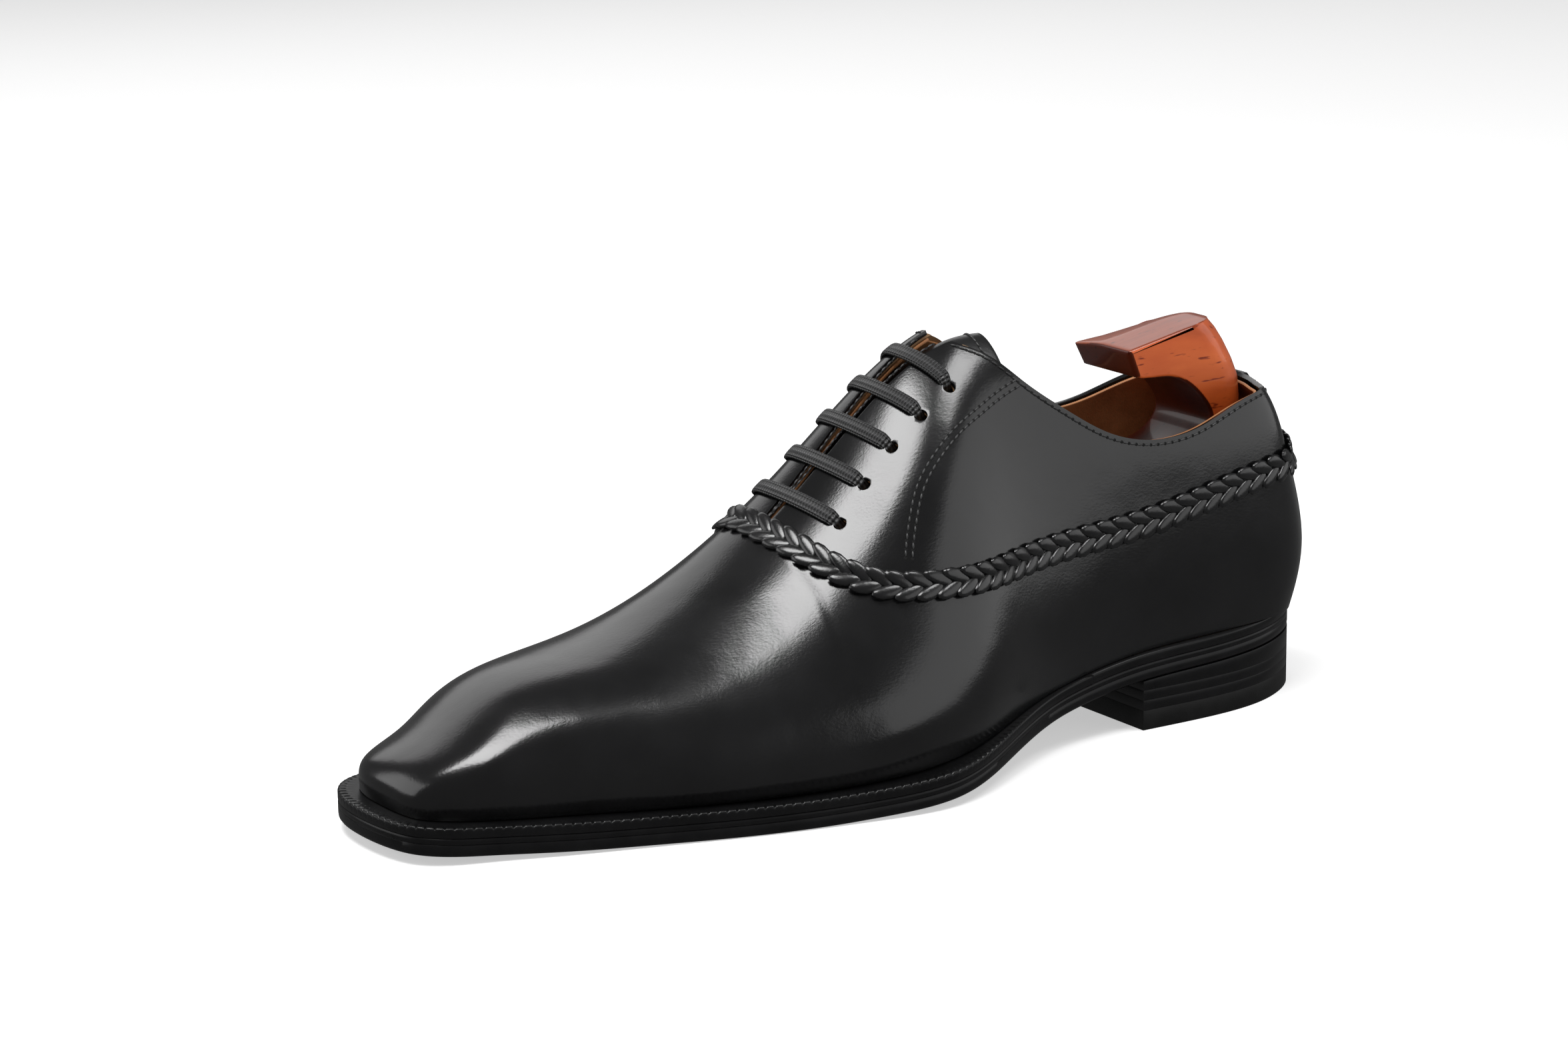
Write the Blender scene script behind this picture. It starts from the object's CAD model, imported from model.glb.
# %% [markdown]
# # A black oxford on its shoe tree
# The real shoe is leather pulled over a last, the wooden form that a shoe is made on, so
# nearly every visible piece is a patch of one smooth surface. This lesson first draws that
# surface, then drapes each leather piece on it. The CAD frame stays fixed: it says where the
# sole, the tree and the joints are, and every new piece rides on one of its bodies.

# %% Load the frame
import math
import bpy
import numpy as np
from mathutils import Matrix, Vector


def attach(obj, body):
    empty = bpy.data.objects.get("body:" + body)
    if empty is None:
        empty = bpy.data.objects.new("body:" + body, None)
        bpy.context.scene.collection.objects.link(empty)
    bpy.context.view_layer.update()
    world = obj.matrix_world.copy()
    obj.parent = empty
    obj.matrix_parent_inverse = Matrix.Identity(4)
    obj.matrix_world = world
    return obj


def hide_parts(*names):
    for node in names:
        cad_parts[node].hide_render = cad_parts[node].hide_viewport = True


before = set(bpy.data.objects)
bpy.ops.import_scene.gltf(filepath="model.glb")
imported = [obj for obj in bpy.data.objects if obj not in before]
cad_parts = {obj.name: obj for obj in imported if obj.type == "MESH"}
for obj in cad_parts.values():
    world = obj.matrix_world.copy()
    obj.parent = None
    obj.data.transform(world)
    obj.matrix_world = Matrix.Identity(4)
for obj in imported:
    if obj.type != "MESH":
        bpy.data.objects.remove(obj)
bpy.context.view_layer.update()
MM = 0.001

# %% [markdown]
# ## The last
# A shoemaker describes a last by cross-sections. Nine points make one section: the lateral
# feather (the edge where the upper meets the sole), low wall, high wall, shoulder, ridge and
# back down the medial side. A smooth spline through all the sections is the leather's outside.
# A subdivision surface would shrink away from the points, so a spline that passes through
# them is the better choice: the leather then agrees with the CAD to a fraction of a millimetre.

# %% The sole's underside in side view
SOLE_THICKNESS = 8.4                   # outsole and welt, mm
BOTTOM = [(-300, 6.08), (-272, 3.2), (-240, 1.28), (-205, 0.29), (-175, 0.02), (-150, 0.45),
          (-120, 2.4), (-90, 6.3), (-62, 10.8), (-33, 15.0), (0, 16.65), (40, 18.0), (70, 20.1)]


def sole_underside(y):
    """Height of the sole's underside at each y, as a smooth line through BOTTOM."""
    ys, zs = np.array(BOTTOM, float).T
    y = np.asarray(y, float)
    low = np.clip(np.searchsorted(ys, y, side="right") - 1, 0, len(ys) - 2)
    slopes = np.empty_like(zs)
    slopes[1:-1] = (zs[2:] - zs[:-2]) / (ys[2:] - ys[:-2])
    slopes[0] = (zs[1] - zs[0]) / (ys[1] - ys[0])
    slopes[-1] = (zs[-1] - zs[-2]) / (ys[-1] - ys[-2])
    step = ys[low + 1] - ys[low]
    t = (y - ys[low]) / step
    return (zs[low] * (1 + 2 * t) * (1 - t) ** 2 + slopes[low] * step * t * (1 - t) ** 2
            + zs[low + 1] * t * t * (3 - 2 * t) + slopes[low + 1] * step * t * t * (t - 1))


print("heel breast height", sole_underside(-33.0), "mm")

# %% The sections of the last
TOE_ROWS = [
    [(19, -259, 0), (16, -263.5, 0), (11, -266, 0), (4, -267, 0), (-6, -267.3, 0),
     (-13, -266.6, 0), (-18.5, -265.2, 0), (-23, -262.3, 0), (-26.5, -257.5, 0)],
    [(22, -253, 0), (21.5, -257.5, 5.5), (16, -263.3, 8.5), (6, -266, 9.5), (-6, -266.5, 9.5),
     (-15, -265.3, 9), (-22, -261.5, 8), (-27.5, -255.5, 5), (-28.8, -251.5, 0)],
    [(24.2, -246.5, 0), (26.0, -248, 9), (22, -250, 17), (9, -252.7, 19), (-6, -253, 18.5),
     (-17, -252.2, 16.5), (-25.5, -249, 13.5), (-30.8, -247, 7.5), (-31, -245.5, 0)],
]
STATIONS = [
    (-236, 27.5, -33.6, -6, 29.4), (-218, 33.0, -37.5, -6, 35.2), (-195, 41.0, -40.0, -6, 39.7),
    (-172, 47.5, -40.5, -5, 48.5), (-150, 52.5, -38.0, -4, 61.7), (-128, 55.0, -33.0, -2, 79.8),
    (-104, 51.0, -27.5, 0, 99.0), (-80, 40.0, -25.0, 0, 107.3), (-56, 33.5, -26.0, 0, 103.0),
    (-32, 32.0, -29.5, 0, 97.0), (-8, 32.0, -31.5, 0, 91.0)]
HEEL_CENTRE_Y = 8.0
HEEL_ANGLES = (20, 45, 68, 90)
HEEL_BACK = [(40.5, 0), (44.5, 19), (39.5, 43), (28.5, 67), (18, 78)]
FOOT = 0.25


def mix(a, b, share):
    return a + (b - a) * min(1.0, max(0.0, share))


def last_section(y, lateral, medial, ridge_x, ridge_rise):
    """The nine points of one cross-section."""
    instep, rear, toe_end = (y + 238) / 110.0, (y + 80) / 60.0, (y + 238) / 90.0
    low = (mix(1.06, 1.07, rear), mix(0.30, 0.20, instep))
    high = (mix(mix(0.95, 0.86, instep), 1.0, rear), mix(mix(0.72, 0.52, instep), 0.50, rear))
    shoulder = (mix(mix(0.55, 0.50, instep), 0.74, rear), mix(mix(0.97, 0.86, instep), 0.83, rear))
    out, inn = lateral - ridge_x, medial - ridge_x
    return [(lateral, y, 0),
            (ridge_x + out * low[0], y, low[1] * ridge_rise),
            (ridge_x + out * high[0], y, high[1] * ridge_rise),
            (ridge_x + out * shoulder[0], y, shoulder[1] * ridge_rise),
            (ridge_x, y, ridge_rise),
            (ridge_x + inn * shoulder[0] * mix(0.95, 1, toe_end), y,
             shoulder[1] * ridge_rise * mix(0.92, 1, toe_end)),
            (ridge_x + inn * high[0] * mix(0.96, 1.02, toe_end), y,
             high[1] * ridge_rise * mix(0.88, 1, toe_end)),
            (ridge_x + inn * low[0] * 1.03, y, low[1] * ridge_rise),
            (medial, y, 0)]


def heel_section(section, angle):
    """A section swept round the back of the heel; at 90 degrees both sides meet."""
    cosine, sine = math.cos(math.radians(angle)), math.sin(math.radians(angle))
    narrow = max(cosine, 0.0) ** 0.9 if angle < 90 else 0.0
    row = []
    for k, (x, y, z) in enumerate(section):
        back_y, back_z = HEEL_BACK[min(k, 8 - k)]
        centre = HEEL_CENTRE_Y if k != 4 else -2.0
        row.append((x * narrow, centre + (back_y - centre) * sine, z + (back_z - z) * sine))
    return row


sections = [list(row) for row in TOE_ROWS] + [last_section(*s) for s in STATIONS]
sections += [heel_section(sections[-1], angle) for angle in HEEL_ANGLES]
HEEL_ROW = len(sections) - 1
sections += [[(-x, y, z) for x, y, z in sections[HEEL_ROW - k]] for k in (1, 2)]
net = np.array(sections, float)
net[..., 2] += (sole_underside(net[..., 1]) + SOLE_THICKNESS
                + FOOT * (1 - np.minimum(1.0, net[..., 2] / 20.0)))
print("the last has", len(sections), "sections of", len(sections[0]), "points")

# %% [markdown]
# ## Reading the surface
# `u` counts sections from the toe to the back of the heel, `v` counts points round a section
# from the lateral feather (0) over the ridge (4) to the medial feather (8). A natural cubic
# spline through unit-spaced points is a small linear system, so any point, and the normal by
# a short difference, comes from two matrix products.

# %% Spline weights and the surface
def curvature_matrix(count):
    left, right = np.eye(count), np.zeros((count, count))
    for i in range(1, count - 1):
        left[i, i - 1:i + 2] = (1 / 6, 4 / 6, 1 / 6)
        right[i, i - 1:i + 2] = (1, -2, 1)
    return np.linalg.solve(left, right)


BENDS = {count: curvature_matrix(count) for count in net.shape[:2]}


def weights(t, count):
    t = np.clip(np.asarray(t, float), 0, count - 1)
    cell = np.minimum(t.astype(int), count - 2)
    b = t - cell
    a = 1 - b
    table = np.zeros((len(t), count))
    rows = np.arange(len(t))
    table[rows, cell] += a
    table[rows, cell + 1] += b
    bend = BENDS[count]
    table += ((a ** 3 - a)[:, None] * bend[cell] + (b ** 3 - b)[:, None] * bend[cell + 1]) / 6
    return table


def last_point(u, v):
    u, v = np.broadcast_arrays(np.asarray(u, float), np.asarray(v, float))
    shape = u.shape
    points = np.einsum("ki,kj,ijc->kc", weights(u.ravel(), net.shape[0]),
                       weights(v.ravel(), net.shape[1]), net)
    return points.reshape(shape + (3,))


def last_normal(u, v):
    """Outward unit normal."""
    step = 0.02
    u, v = np.broadcast_arrays(np.asarray(u, float), np.asarray(v, float))
    along = last_point(u + step, v) - last_point(np.maximum(u - step, 0), v)
    round_it = last_point(u, np.minimum(v + step, 8)) - last_point(u, np.maximum(v - step, 0))
    normal = np.cross(along, round_it)
    normal /= np.maximum(np.linalg.norm(normal, axis=-1, keepdims=True), 1e-9)
    return normal


print("a wall normal:", last_normal(8.0, 1.0).round(2))


def on_leather(uv, height=0.0):
    """Points at a height in mm above the outside of the leather, for uv pairs."""
    uv = np.asarray(uv, float)
    return last_point(uv[..., 0], uv[..., 1]) + last_normal(uv[..., 0], uv[..., 1]) * height

# %% [markdown]
# ## Finding places on the last
# A shoemaker marks lines on the last in side view or in plan. To follow such a line in 3-D,
# each marked point is looked up in a coarse table of the surface and then polished by a few
# damped least-squares steps. The same steps bring a point back after it was moved sideways.

# %% From marks to places on the surface
def polish(targets, axes, uv, v_low=0.0, v_high=8.0):
    """Moves uv pairs until the surface's chosen coordinates match the targets."""
    axes, uv = list(axes), np.array(uv, float)
    for _ in range(12):
        here = last_point(*uv.T)[:, axes]
        step = 0.01
        sides = np.stack([(last_point(uv[:, 0] + step, uv[:, 1])[:, axes] - here) / step,
                          (here - last_point(uv[:, 0], uv[:, 1] - step)[:, axes]) / step], -1)
        square = sides.transpose(0, 2, 1) @ sides + 1e-3 * np.eye(2)
        pull = (sides.transpose(0, 2, 1) @ (targets - here)[..., None])
        uv += np.clip(np.linalg.solve(square, pull)[..., 0], -0.4, 0.4)
        uv[:, 0] = np.clip(uv[:, 0], 0, HEEL_ROW)
        uv[:, 1] = np.clip(uv[:, 1], v_low, v_high)
    return uv


def find(targets, axes, u_range, v_range):
    """The uv pairs whose points have the target coordinates, for example y and z."""
    targets = np.asarray(targets, float)
    table = np.stack(np.meshgrid(np.arange(*u_range, 0.1), np.arange(*v_range, 0.1),
                                 indexing="ij"), -1).reshape(-1, 2)
    places = last_point(*table.T)[:, list(axes)]
    nearest = ((places[None] - targets[:, None]) ** 2).sum(-1).argmin(1)
    return polish(targets, axes, table[nearest], v_range[0], v_range[1])


def smooth_line(points, count):
    """Natural cubic spline through points, spaced by chord length, as count points."""
    points = np.asarray(points, float)
    knots = np.concatenate([[0], np.cumsum(np.linalg.norm(np.diff(points, axis=0), axis=1))])
    gaps, n = np.diff(knots), len(points)
    left, right = np.eye(n), np.zeros((n, points.shape[1]))
    for i in range(1, n - 1):
        left[i, i - 1:i + 2] = gaps[i - 1], 2 * (gaps[i - 1] + gaps[i]), gaps[i]
        right[i] = 6 * ((points[i + 1] - points[i]) / gaps[i]
                        - (points[i] - points[i - 1]) / gaps[i - 1])
    bend = np.linalg.solve(left, right)
    t = np.linspace(0, knots[-1], count)
    i = np.clip(np.searchsorted(knots, t, side="right") - 1, 0, n - 2)
    h, a, b = gaps[i][:, None], (knots[i + 1] - t)[:, None], (t - knots[i])[:, None]
    return (bend[i] * a ** 3 / (6 * h) + bend[i + 1] * b ** 3 / (6 * h)
            + (points[i] / h - bend[i] * h / 6) * a + (points[i + 1] / h - bend[i + 1] * h / 6) * b)


def even(uv, count=None, pitch=None):
    """A uv line resampled at even distances on the leather."""
    points = last_point(*np.asarray(uv).T)
    run = np.concatenate([[0], np.cumsum(np.linalg.norm(np.diff(points, axis=0), axis=1))])
    if count is None:
        count = max(2, int(round(run[-1] / pitch)) + 1)
    at = np.linspace(0, run[-1], count)
    return np.stack([np.interp(at, run, uv[:, k]) for k in (0, 1)], -1)


def length_of(uv):
    return np.linalg.norm(np.diff(last_point(*uv.T), axis=0), axis=1).sum()


def shift(uv, distance):
    """A uv line moved sideways on the leather, to its left seen from outside."""
    points, normals = last_point(*uv.T), last_normal(*uv.T)
    tangents = np.gradient(points, axis=0)
    tangents /= np.linalg.norm(tangents, axis=1, keepdims=True)
    left = np.cross(normals, tangents)
    return polish(points + left * distance, (0, 1, 2), uv)


# %% [markdown]
# ## The pattern lines
# Five lines cut the upper: the plait line between vamp and quarters, the topline round the
# opening, and the two facing edges that the lace draws together. Every patch, seam and row of
# stitches is measured from them.

# %% Plait line, topline and facings
PLAIT_MARKS = [(-147.4, 72.4), (-142.6, 67), (-136.5, 63.2), (-129.6, 60.9), (-117.6, 60),
               (-95, 59.6), (-60, 60.9), (-36.2, 62.5), (-12.8, 66.4), (12, 71), (30, 73), (52, 74)]
TOP_MARKS = [(-85.3, 120.2), (-77.8, 116.7), (-67.3, 107.9), (-54.4, 98.1), (-40.9, 90),
             (-25.5, 86.4), (-9, 88), (5.4, 92.4), (16, 94.6), (28, 95.6), (50, 97)]
THROAT_PLAN, TOP_PLAN = (2.6, -150.0), (4.0, -85.0)
THROAT_GAP, TOP_GAP = 2.6, 9.0
LATERAL, MEDIAL = 1, -1


def side_line(marks, side):
    """A line marked in side view, followed from the ridge to the back seam on one side."""
    marks = smooth_line([(marks[0][0] - 6, marks[0][1] + 6)] + marks, 240)
    v_range = (0.0, 4.0) if side == LATERAL else (4.0, 8.0)
    uv = find(marks, (1, 2), (5.0, 17.0), v_range)
    misses = np.linalg.norm(last_point(*uv.T)[:, 1:] - marks, axis=1)
    on_it = (misses < 0.25) & (uv[:, 0] < HEEL_ROW - 0.02)
    uv = uv[on_it]
    uv = uv[np.argsort(last_point(*uv.T)[:, 1])]
    ridge_u = uv[0, 0] - (uv[1, 0] - uv[0, 0]) * (4 - uv[0, 1]) / (uv[1, 1] - uv[0, 1] + 1e-9)
    start = [min(max(ridge_u, uv[0, 0] - 0.15), uv[0, 0]), 4.0]
    end = [HEEL_ROW, uv[-1, 1] + (HEEL_ROW - uv[-1, 0]) * (uv[-1, 1] - uv[-4, 1])
           / (uv[-1, 0] - uv[-4, 0])]
    return np.vstack([[start], uv, [end]])


plait_side = {side: side_line(PLAIT_MARKS, side) for side in (LATERAL, MEDIAL)}
top_side = {side: side_line(TOP_MARKS, side) for side in (LATERAL, MEDIAL)}
ridge_throat = (plait_side[LATERAL][0] + plait_side[MEDIAL][0]) / 2
ridge_top = (top_side[LATERAL][0] + top_side[MEDIAL][0]) / 2
for side in (LATERAL, MEDIAL):
    plait_side[side][0], top_side[side][0] = ridge_throat, ridge_top
    plait_side[side][-1, 1] = 4 + (plait_side[LATERAL][-1, 1] - 4) * side
    top_side[side][-1, 1] = 4 + (top_side[LATERAL][-1, 1] - 4) * side
plait_line = even(np.vstack([plait_side[LATERAL][::-1], plait_side[MEDIAL][1:]]), pitch=0.4)
top_line = even(np.vstack([top_side[LATERAL][::-1], top_side[MEDIAL][1:]]), pitch=0.4)
print("plait line", round(length_of(plait_line)), "mm, topline", round(length_of(top_line)), "mm")


def facing_x(y, side):
    share = (y - THROAT_PLAN[1]) / (TOP_PLAN[1] - THROAT_PLAN[1])
    middle = THROAT_PLAN[0] + (TOP_PLAN[0] - THROAT_PLAN[0]) * share
    return middle + side * (THROAT_GAP + (TOP_GAP - THROAT_GAP) * share) / 2


def facing_crossing(line, side):
    """Where a whole line crosses a facing edge, as an index into it."""
    points = last_point(*line.T)
    past = points[:, 0] - facing_x(points[:, 1], side)
    near = (points[:, 1] < -70) & (np.arange(len(line)) > 10)
    crossing = np.where((past[:-1] > 0) & (past[1:] <= 0) & near[1:])[0]
    return crossing[0] + 1


def quarter_edges(side, grow_top=0.0):
    """Bottom, top, front and back edges of one quarter, each from front or bottom."""
    cut_low, cut_high = facing_crossing(plait_line, side), facing_crossing(top_line, side)
    if side == LATERAL:
        bottom, top = plait_line[:cut_low][::-1], top_line[:cut_high][::-1]
    else:
        bottom, top = plait_line[cut_low:], top_line[cut_high:]
    ys = np.linspace(last_point(*bottom[0])[1], last_point(*top[0])[1], 60)
    front = find(np.stack([facing_x(ys, side), ys], -1), (0, 1), (6.0, 12.0), (2.0, 6.0))
    bottom, top = even(bottom, 200), even(top, 200)
    front[0], front[-1] = bottom[0], top[0]
    back = np.stack([np.full(60, float(HEEL_ROW)), np.linspace(bottom[-1, 1], top[-1, 1], 60)], -1)
    return bottom, top, even(front, 60), back


def along(line, t):
    at = np.linspace(0, 1, len(line))
    return np.stack([np.interp(t, at, line[:, k]) for k in (0, 1)], -1)


def coons(edges):
    """Blends four edges into one patch: s runs from front to back, t from bottom to top."""
    bottom, top, front, back = edges

    def uv_of(s, t):
        s1, t1 = s[:, None], t[:, None]
        corners = ((1 - s1) * (1 - t1) * bottom[0] + s1 * (1 - t1) * bottom[-1]
                   + (1 - s1) * t1 * top[0] + s1 * t1 * top[-1])
        return ((1 - t1) * along(bottom, s) + t1 * along(top, s)
                + (1 - s1) * along(front, t) + s1 * along(back, t) - corners)
    return uv_of

# %% [markdown]
# ## Draping leather
# Each leather piece starts as a grid primitive. Its points are then moved to their places on
# the last, Solidify gives the hide its thickness towards the foot, and a small bevel rounds
# the cut edge so that it catches the light.

# %% Helpers for sheets
def deselect():
    bpy.ops.object.select_all(action="DESELECT")


def activate(piece):
    deselect()
    piece.select_set(True)
    bpy.context.view_layer.objects.active = piece


def named(piece, name):
    piece.name = piece.data.name = name
    return piece


def points_of(piece):
    flat = np.empty(len(piece.data.vertices) * 3)
    piece.data.vertices.foreach_get("co", flat)
    return flat.reshape(-1, 3) / MM


def put_points(piece, points):
    piece.data.vertices.foreach_set("co", (np.asarray(points, float) * MM).ravel())
    piece.data.update()


def apply(piece, kind, **settings):
    """Adds a modifier and applies it."""
    activate(piece)
    modifier = piece.modifiers.new(kind.title(), kind)
    for key, value in settings.items():
        setattr(modifier, key, value)
    bpy.ops.object.modifier_apply(modifier=modifier.name)


def sheet(name, across, up, place):
    """A grid primitive draped by place(s, t), with s and t from 0 to 1."""
    deselect()
    bpy.ops.mesh.primitive_grid_add(x_subdivisions=across, y_subdivisions=up, size=1)
    piece = named(bpy.context.object, name)
    flat = points_of(piece) * MM
    put_points(piece, place(flat[:, 0] + 0.5, flat[:, 1] + 0.5))
    return piece


def leather(name, across, up, uv_of, height=0.0):
    """A sheet on the last, its faces pointing away from the foot."""
    uv = []

    def place(s, t):
        uv.append(np.asarray(uv_of(s, t)))
        return on_leather(uv[0], height)

    piece = sheet(name, across, up, place)
    normals = np.array([n.vector for n in piece.data.vertex_normals])
    if (normals * last_normal(*uv[0].T)).sum() < 0:
        piece.data.flip_normals()
    return piece


def edit(piece, *steps):
    """Runs edit mode operators on the whole mesh."""
    activate(piece)
    bpy.ops.object.mode_set(mode="EDIT")
    bpy.ops.mesh.select_all(action="SELECT")
    for step, settings in steps:
        step(**settings)
    bpy.ops.object.mode_set(mode="OBJECT")


def merge(piece, distance=1e-5):
    edit(piece, (bpy.ops.mesh.remove_doubles, {"threshold": distance}))


def join(name, *pieces):
    activate(pieces[0])
    for piece in pieces[1:]:
        piece.select_set(True)
    bpy.ops.object.join()
    return named(pieces[0], name)


def smooth(piece, degrees=40):
    activate(piece)
    bpy.ops.object.shade_smooth_by_angle(angle=math.radians(degrees))
    return piece


def hide(piece, thickness, edge=0.0):
    """Gives a sheet its thickness towards the foot, and rounds its cut edge."""
    apply(piece, "SOLIDIFY", thickness=thickness * MM, offset=-1, use_even_offset=True)
    if edge:
        apply(piece, "BEVEL", width=edge * MM, segments=2, limit_method="ANGLE",
              angle_limit=math.radians(55), use_clamp_overlap=True)
    return smooth(piece)


def wear(piece, finish, body="root", replaced=()):
    """Gives a finished piece its finish, its body and the nodes that it stands for."""
    piece.data.materials.clear()
    piece.data.materials.append(finish)
    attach(piece, body)
    if replaced:
        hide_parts(*replaced)
    print(piece.name, len(piece.data.polygons), "faces")


# %% [markdown]
# ## Vamp
# The vamp wraps the whole foot below the plait: over the toe it spans from feather to feather,
# and from the throat back its top edge is the plait line. Two grids, one a side, meet on the
# ridge and at the back seam, where their points are merged.

# %% Lower upper, outside and lining
UPPER = 1.4
LINING_DEPTH, LINING = 2.54, 0.9


def vamp_half(side, rise=0.0):
    """The place on one side below the plait line, as uv_of."""
    line = shift(plait_side[side][1:-1], -rise * side) if rise else plait_side[side]
    order = np.argsort(line[:, 0], kind="stable")

    def uv_of(s, t):
        u = s * HEEL_ROW
        top = np.interp(u, line[order, 0], line[order, 1], left=4.0)
        feather = 0.0 if side == LATERAL else 8.0
        return np.stack([u, feather + (top - feather) * t], -1)
    return uv_of


def vamp_shell(name, across, up, height):
    halves = [leather(name + str(k), across, up, vamp_half(side), height)
              for k, side in enumerate((LATERAL, MEDIAL))]
    shell = join(name, *halves)
    merge(shell, 2e-5)
    return shell


vamp = hide(vamp_shell("vamp_leather", 230, 46, 0.0), UPPER)
vamp_lining = hide(vamp_shell("vamp_lining_leather", 130, 26, -LINING_DEPTH), LINING)

# %% [markdown]
# ## Quarters
# A quarter has four edges: the plait line, the back seam, the topline and the facing. A Coons
# patch blends those four lines into one grid whose rows follow the edges, so the folded top
# edge comes out clean. The lining is the same patch, deeper and a little lower.

# %% Quarters and their lining
quarters, quarter_linings = {}, {}
for side, label in ((LATERAL, "lateral"), (MEDIAL, "medial")):
    patch = coons(quarter_edges(side))
    quarters[side] = leather("quarter_" + label + "_leather", 190, 64, patch)
    quarter_linings[side] = leather("quarter_lining_" + label + "_leather", 120, 40, patch,
                                    -LINING_DEPTH)
    quarter_linings[side] = hide(quarter_linings[side], LINING, 0.25)

# %% [markdown]
# ## Lace holes
# Five holes a side are punched through the facing. A Boolean with plain cylinders cuts them,
# which is what a punch does, and the hole's lip stays sharp with a trace of rounding.

# %% Punch the eyelets
EYELETS = [(-92.5, 109), (-103.6, 102.6), (-114, 94.8), (-124, 85.6), (-133.6, 76)]
HOLE = 3.8
eyelet_uv = {side: find(EYELETS, (1, 2), (6.0, 11.5), (2.0, 4.0) if side == LATERAL else (4.0, 6.0))
             for side in (LATERAL, MEDIAL)}


def frame_at(uv, onward):
    """Origins and frames on the leather: along, left and up, for a line of places."""
    up = last_normal(*uv.T)
    ahead = onward - (onward * up).sum(1, keepdims=True) * up
    ahead /= np.linalg.norm(ahead, axis=1, keepdims=True)
    return last_point(*uv.T), np.stack([ahead, np.cross(up, ahead), up], 1)


for side in (LATERAL, MEDIAL):
    for target in (quarters, quarter_linings):
        punches = []
        for uv in eyelet_uv[side]:
            deselect()
            place, up = last_point(*uv), last_normal(*uv)
            bpy.ops.mesh.primitive_cylinder_add(
                vertices=32, radius=(HOLE / 2 + (0 if target is quarters else 1.6)) * MM,
                depth=12 * MM, location=place * MM,
                rotation=Vector(up).to_track_quat("Z", "Y").to_euler())
            punches.append(bpy.context.object)
        punch = join("punch", *punches)
        if target is quarters:
            apply(target[side], "SOLIDIFY", thickness=UPPER * MM, offset=-1, use_even_offset=True)
        apply(target[side], "BOOLEAN", operation="DIFFERENCE", object=punch, solver="EXACT")
        bpy.data.objects.remove(punch)
    apply(quarters[side], "BEVEL", width=0.35 * MM, segments=2, limit_method="ANGLE",
          angle_limit=math.radians(60), use_clamp_overlap=True)
    smooth(quarters[side])
    smooth(quarter_linings[side])
print("eyelets at", last_point(*eyelet_uv[LATERAL].T).round(1).tolist())

# %% [markdown]
# ## Tongue
# The tongue lies under the lacing, wider at its top, where its corners are rounded. It is
# draped on the same last, deeper than the lining, and moves on its own hinge at the throat.

# %% Tongue leather and its lining
TONGUE_DEPTH, TONGUE = 5.64, 1.2
TONGUE_ROOT_Y, TONGUE_TOP_Y = -147.0, -68.0
TONGUE_ROOT_HALF, TONGUE_TOP_HALF = 17.0, 27.0
CORNER = 0.16                          # share of the length that the rounded top takes


def tongue_uv(s, t, inset=0.0):
    side = 2 * s - 1
    half = TONGUE_ROOT_HALF + (TONGUE_TOP_HALF - TONGUE_ROOT_HALF) * t - inset
    over = np.clip((t - (1 - CORNER)) / CORNER, 0, 1)
    half = half * (1 - 0.55 * (1 - np.sqrt(1 - 0.98 * over ** 2)))
    y = TONGUE_ROOT_Y + (TONGUE_TOP_Y - TONGUE_ROOT_Y - inset) * t
    share = (y - THROAT_PLAN[1]) / (TOP_PLAN[1] - THROAT_PLAN[1])
    middle = THROAT_PLAN[0] + (TOP_PLAN[0] - THROAT_PLAN[0]) * share
    return find(np.stack([middle + half * side, y], -1), (0, 1), (6.0, 13.0), (1.6, 6.4))


tongue = hide(leather("tongue_leather", 44, 64, tongue_uv, -TONGUE_DEPTH), TONGUE, 0.3)
tongue_lining = hide(leather("tongue_lining_leather", 40, 56, tongue_uv,
                             -TONGUE_DEPTH - TONGUE - 0.12), 0.7)

# %% [markdown]
# ## Repeated shapes
# Plait leaves and stitches repeat by the hundred. One small shape is modelled once, then a
# copy is stamped at every place along a line, each with its own mesh points, all in one mesh.

# %% Stamp copies along a line
def stamp(name, template, origins, frames, sizes=None):
    """Copies a template, modelled in mm with x along, y across and z up, to every frame."""
    shape, count = points_of(template), len(origins)
    sizes = np.ones((count, 3)) if sizes is None else np.asarray(sizes)
    placed = np.einsum("nk,mk,mkc->mnc", shape, sizes, frames) + origins[:, None]
    faces = [tuple(polygon.vertices) for polygon in template.data.polygons]
    all_faces = [tuple(v + k * len(shape) for v in face) for k in range(count) for face in faces]
    mesh = bpy.data.meshes.new(name)
    mesh.from_pydata((placed.reshape(-1, 3) * MM).tolist(), [], all_faces)
    piece = bpy.data.objects.new(name, mesh)
    bpy.context.scene.collection.objects.link(piece)
    edit(piece, (bpy.ops.mesh.normals_make_consistent, {"inside": False}))
    bpy.data.objects.remove(template)
    return smooth(piece, 60)


def ball(segments, rings, reshape):
    """A sphere primitive in mm, reshaped by a function of its unit points."""
    deselect()
    bpy.ops.mesh.primitive_uv_sphere_add(segments=segments, ring_count=rings, radius=1)
    piece = bpy.context.object
    unit = points_of(piece) * MM
    put_points(piece, reshape(unit))
    return piece


# %% [markdown]
# ## The plait
# A flat plait of calf covers the joint of vamp and quarters. Seen from outside it is two rows
# of leaves that meet on the centre line like an ear of wheat: each leaf comes out from under
# the next one, runs outwards and back, and dives again. The shape of one leaf is a pointed,
# domed lozenge that is tilted so that its tail sits under the leaf behind it.

# %% Plait leaves along both sides
LEAF_PITCH, LEAF_LENGTH, LEAF_WIDTH, LEAF_RISE = 6.0, 10.2, 4.1, 1.0


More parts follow.
